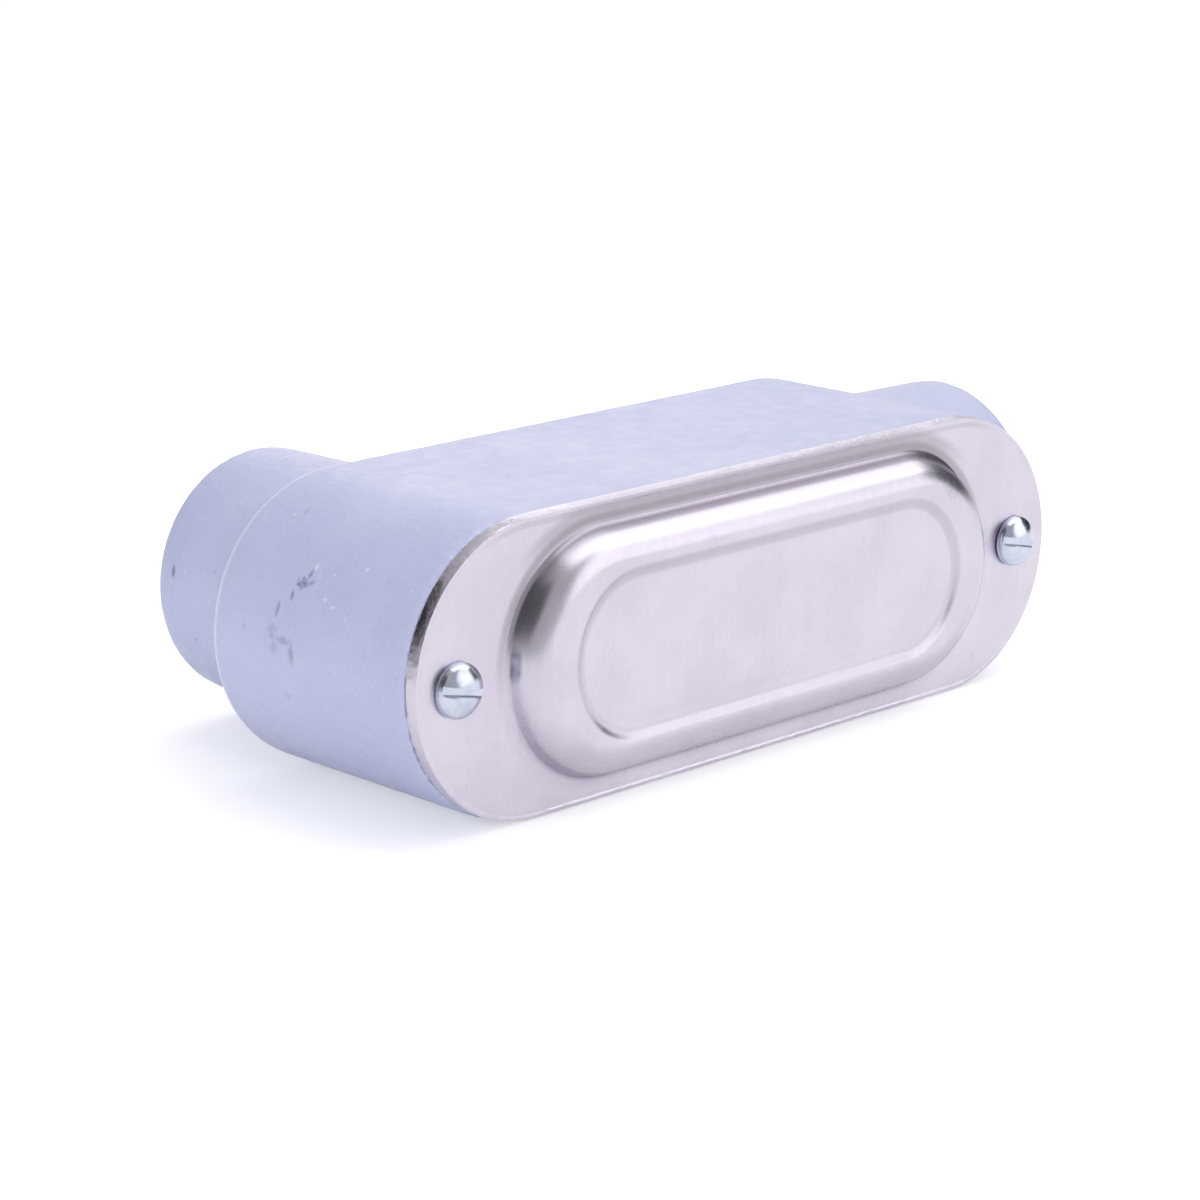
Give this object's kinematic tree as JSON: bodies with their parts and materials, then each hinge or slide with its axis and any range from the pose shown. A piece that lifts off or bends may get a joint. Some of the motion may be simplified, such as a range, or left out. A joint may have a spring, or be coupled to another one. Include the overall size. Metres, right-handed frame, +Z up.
{
  "type": "conduit body",
  "caption": "Right-angle conduit body: a painted round-ended cast box with a threaded hub on its back and one at its end, closed by a domed pressed steel cover with slotted screws.",
  "frame": {"origin": "centre of the bounding box's bottom face, under the long side that the box stands on", "axes": "+X along the box, out of the end hub; +Y out of the back hub, away from the cover; +Z up, across the box"},
  "size_m": [0.1266, 0.0676, 0.0388],
  "materials": {
    "cast_paint": "light blue-grey paint over fine sand-cast iron, satin",
    "pressed_steel": "bright plated sheet, slightly wavy, soft gloss",
    "screw_zinc": "bluish bright zinc plate"
  },
  "bodies": {
    "root": {"body_casting": "cast_paint", "cover": "pressed_steel", "left_cover_screw": "screw_zinc", "right_cover_screw": "screw_zinc"}
  },
  "joints": []
}
